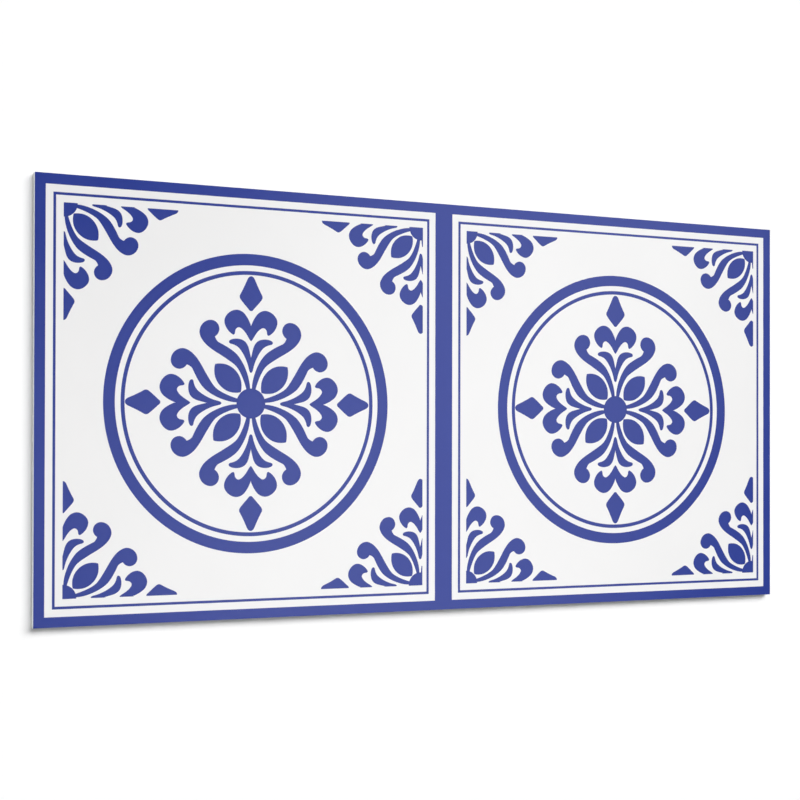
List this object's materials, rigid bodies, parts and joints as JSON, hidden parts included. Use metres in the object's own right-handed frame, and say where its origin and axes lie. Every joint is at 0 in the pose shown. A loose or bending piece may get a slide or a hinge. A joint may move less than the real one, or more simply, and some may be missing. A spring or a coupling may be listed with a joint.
{
  "type": "peel and stick wall panel",
  "caption": "Flat rectangular self-adhesive wall panel of rigid foam plastic, printed with blue and white ornamental tiles and stuck to a wall by its back.",
  "frame": {"origin": "centre of the adhesive back face", "axes": "+X along the panel's length, +Y up the panel as it hangs on the wall, +Z out of the printed face"},
  "size_m": [0.6, 0.3, 0.005],
  "materials": {
    "white_pvc": "satin white rigid foam sheet",
    "blue_ink": "satin cobalt blue printing ink"
  },
  "bodies": {
    "root": {"panel": "white_pvc"}
  },
  "joints": []
}
